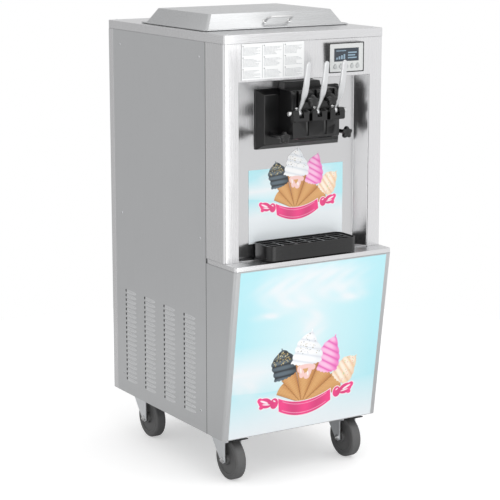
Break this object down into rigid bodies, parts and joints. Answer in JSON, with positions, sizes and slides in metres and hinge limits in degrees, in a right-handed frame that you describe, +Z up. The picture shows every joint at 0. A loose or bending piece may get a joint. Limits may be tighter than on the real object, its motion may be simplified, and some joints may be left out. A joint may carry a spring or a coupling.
{
  "type": "soft serve machine",
  "caption": "Floor-standing soft serve machine on casters, with draw levers, drip tray, hoppers under a lid, display and louvred stainless cabinet.",
  "frame": {"origin": "centre of the machine's box at floor level", "axes": "+Z up, +Y to the back panel, +X to the right as seen from the front"},
  "size_m": [0.54, 0.8139, 1.3566],
  "materials": {
    "stainless": "brushed, satin",
    "polished_steel": "polished",
    "zinc": "bright zinc plated",
    "black_plastic": "semi-gloss black",
    "lever_silver": "satin silver",
    "grey_plastic": "matte light grey",
    "screen_glass": "dark blue window",
    "wheel_grey": "grey, matte",
    "printed_panel": "printed vinyl over stainless sheet",
    "cast_iron": "black enamel",
    "aluminium": "mill finish"
  },
  "bodies": {
    "cabinet": {"back_panel": "stainless", "base_pan": "zinc", "cable_gland": "black_plastic", "compressor": "cast_iron", "condenser": "aluminium", "control_box": "grey_plastic", "dispensing_head": "black_plastic", "display_housing": "grey_plastic", "display_screen": "screen_glass", "front_frame": "stainless", "front_left_caster_plate": "zinc", "front_right_caster_plate": "zinc", "head_plate": "black_plastic", "left_freezing_cylinder": "polished_steel", "left_gear_motor": "cast_iron", "left_hopper": "polished_steel", "left_side_panel": "stainless", "lever_pivot_rod": "polished_steel", "lower_front_panel": "printed_panel", "rear_left_caster_plate": "zinc", "rear_right_caster_plate": "zinc", "recess_panel": "stainless", "right_freezing_cylinder": "polished_steel", "right_gear_motor": "cast_iron", "right_hopper": "polished_steel", "right_side_panel": "stainless", "shelf": "stainless", "top_cover": "stainless"},
    "lid": {"hopper_lid": "stainless", "lid_handle": "polished_steel"},
    "tray": {"drip_tray": "black_plastic"},
    "grate": {"drip_grate": "black_plastic"},
    "left_lever": {"left_lever": "lever_silver"},
    "left_plunger": {"left_plunger": "polished_steel"},
    "centre_lever": {"centre_lever": "lever_silver"},
    "centre_plunger": {"centre_plunger": "polished_steel"},
    "right_lever": {"right_lever": "lever_silver"},
    "right_plunger": {"right_plunger": "polished_steel"},
    "upper_left_knob": {"upper_left_knob": "black_plastic"},
    "upper_right_knob": {"upper_right_knob": "black_plastic"},
    "lower_left_knob": {"lower_left_knob": "black_plastic"},
    "lower_right_knob": {"lower_right_knob": "black_plastic"},
    "key_1": {"key_1": "grey_plastic"},
    "key_2": {"key_2": "grey_plastic"},
    "key_3": {"key_3": "grey_plastic"},
    "key_4": {"key_4": "grey_plastic"},
    "key_5": {"key_5": "grey_plastic"},
    "fan": {"condenser_fan": "aluminium"},
    "left_beater": {"left_beater": "polished_steel"},
    "right_beater": {"right_beater": "polished_steel"},
    "front_left_caster": {"front_left_fork": "zinc"},
    "front_left_wheel": {"front_left_wheel": "wheel_grey"},
    "front_left_brake": {"front_left_brake_pedal": "black_plastic"},
    "front_right_caster": {"front_right_fork": "zinc"},
    "front_right_wheel": {"front_right_wheel": "wheel_grey"},
    "front_right_brake": {"front_right_brake_pedal": "black_plastic"},
    "rear_left_caster": {"rear_left_fork": "zinc"},
    "rear_left_wheel": {"rear_left_wheel": "wheel_grey"},
    "rear_right_caster": {"rear_right_fork": "zinc"},
    "rear_right_wheel": {"rear_right_wheel": "wheel_grey"}
  },
  "joints": [
    {"name": "lid_lift", "type": "slide", "parent": "cabinet", "child": "lid", "axis": [0, 0, 1], "range_m": [0, 0.15]},
    {"name": "tray_pull", "type": "slide", "parent": "cabinet", "child": "tray", "axis": [0, -1, 0], "range_m": [0, 0.11]},
    {"name": "grate_lift", "type": "slide", "parent": "tray", "child": "grate", "axis": [0, 0, 1], "range_m": [0, 0.06]},
    {"name": "left_lever_pull", "type": "hinge", "parent": "cabinet", "child": "left_lever", "pos_m": [-0.061, -0.355, 1.089], "axis": [1, 0, 0], "range_deg": [0, 50]},
    {"name": "centre_lever_pull", "type": "hinge", "parent": "cabinet", "child": "centre_lever", "pos_m": [0, -0.355, 1.089], "axis": [1, 0, 0], "range_deg": [0, 50]},
    {"name": "right_lever_pull", "type": "hinge", "parent": "cabinet", "child": "right_lever", "pos_m": [0.061, -0.355, 1.089], "axis": [1, 0, 0], "range_deg": [0, 50]},
    {"name": "left_plunger_lift", "type": "slide", "parent": "cabinet", "child": "left_plunger", "axis": [0, 0, 1], "range_m": [0, 0.013]},
    {"name": "centre_plunger_lift", "type": "slide", "parent": "cabinet", "child": "centre_plunger", "axis": [0, 0, 1], "range_m": [0, 0.013]},
    {"name": "right_plunger_lift", "type": "slide", "parent": "cabinet", "child": "right_plunger", "axis": [0, 0, 1], "range_m": [0, 0.013]},
    {"name": "upper_left_knob_turn", "type": "hinge", "parent": "cabinet", "child": "upper_left_knob", "pos_m": [-0.032, -0.345, 1.122], "axis": [0, -1, 0], "continuous": true},
    {"name": "upper_right_knob_turn", "type": "hinge", "parent": "cabinet", "child": "upper_right_knob", "pos_m": [0.032, -0.345, 1.122], "axis": [0, -1, 0], "continuous": true},
    {"name": "lower_left_knob_turn", "type": "hinge", "parent": "cabinet", "child": "lower_left_knob", "pos_m": [-0.106, -0.278, 1.021], "axis": [0, -1, 0], "continuous": true},
    {"name": "lower_right_knob_turn", "type": "hinge", "parent": "cabinet", "child": "lower_right_knob", "pos_m": [0.106, -0.278, 1.021], "axis": [0, -1, 0], "continuous": true},
    {"name": "key_1_press", "type": "slide", "parent": "cabinet", "child": "key_1", "axis": [0, 1, 0], "range_m": [0, 0.001], "stiffness_N_per_m": 300, "springref_m": -0.0005},
    {"name": "key_2_press", "type": "slide", "parent": "cabinet", "child": "key_2", "axis": [0, 1, 0], "range_m": [0, 0.001], "stiffness_N_per_m": 300, "springref_m": -0.0005},
    {"name": "key_3_press", "type": "slide", "parent": "cabinet", "child": "key_3", "axis": [0, 1, 0], "range_m": [0, 0.001], "stiffness_N_per_m": 300, "springref_m": -0.0005},
    {"name": "key_4_press", "type": "slide", "parent": "cabinet", "child": "key_4", "axis": [0, 1, 0], "range_m": [0, 0.001], "stiffness_N_per_m": 300, "springref_m": -0.0005},
    {"name": "key_5_press", "type": "slide", "parent": "cabinet", "child": "key_5", "axis": [0, 1, 0], "range_m": [0, 0.001], "stiffness_N_per_m": 300, "springref_m": -0.0005},
    {"name": "fan_spin", "type": "hinge", "parent": "cabinet", "child": "fan", "pos_m": [-0.17, 0.005, 0.335], "axis": [1, 0, 0], "continuous": true},
    {"name": "left_beater_spin", "type": "hinge", "parent": "cabinet", "child": "left_beater", "pos_m": [-0.061, -0.244, 1.09], "axis": [0, 1, 0], "continuous": true},
    {"name": "right_beater_spin", "type": "hinge", "parent": "cabinet", "child": "right_beater", "pos_m": [0.061, -0.244, 1.09], "axis": [0, 1, 0], "continuous": true},
    {"name": "front_left_swivel", "type": "hinge", "parent": "cabinet", "child": "front_left_caster", "pos_m": [-0.205, -0.182, 0.13], "axis": [0, 0, 1], "continuous": true},
    {"name": "front_left_roll", "type": "hinge", "parent": "front_left_caster", "child": "front_left_wheel", "pos_m": [-0.205, -0.22, 0.0625], "axis": [1, 0, 0], "continuous": true},
    {"name": "front_left_brake_press", "type": "hinge", "parent": "front_left_caster", "child": "front_left_brake", "pos_m": [-0.205, -0.242, 0.1295], "axis": [1, 0, 0], "range_deg": [0, 20]},
    {"name": "front_right_swivel", "type": "hinge", "parent": "cabinet", "child": "front_right_caster", "pos_m": [0.205, -0.182, 0.13], "axis": [0, 0, 1], "continuous": true},
    {"name": "front_right_roll", "type": "hinge", "parent": "front_right_caster", "child": "front_right_wheel", "pos_m": [0.205, -0.22, 0.0625], "axis": [1, 0, 0], "continuous": true},
    {"name": "front_right_brake_press", "type": "hinge", "parent": "front_right_caster", "child": "front_right_brake", "pos_m": [0.205, -0.242, 0.1295], "axis": [1, 0, 0], "range_deg": [0, 20]},
    {"name": "rear_left_swivel", "type": "hinge", "parent": "cabinet", "child": "rear_left_caster", "pos_m": [-0.205, 0.301, 0.13], "axis": [0, 0, 1], "continuous": true},
    {"name": "rear_left_roll", "type": "hinge", "parent": "rear_left_caster", "child": "rear_left_wheel", "pos_m": [-0.205, 0.263, 0.0625], "axis": [1, 0, 0], "continuous": true},
    {"name": "rear_right_swivel", "type": "hinge", "parent": "cabinet", "child": "rear_right_caster", "pos_m": [0.205, 0.301, 0.13], "axis": [0, 0, 1], "continuous": true},
    {"name": "rear_right_roll", "type": "hinge", "parent": "rear_right_caster", "child": "rear_right_wheel", "pos_m": [0.205, 0.263, 0.0625], "axis": [1, 0, 0], "continuous": true}
  ],
  "couplings": [
    {"joint": "left_plunger_lift", "follows": "left_lever_pull", "m_per_rad": 0.0135},
    {"joint": "centre_plunger_lift", "follows": "centre_lever_pull", "m_per_rad": 0.0135},
    {"joint": "right_plunger_lift", "follows": "right_lever_pull", "m_per_rad": 0.0135}
  ]
}
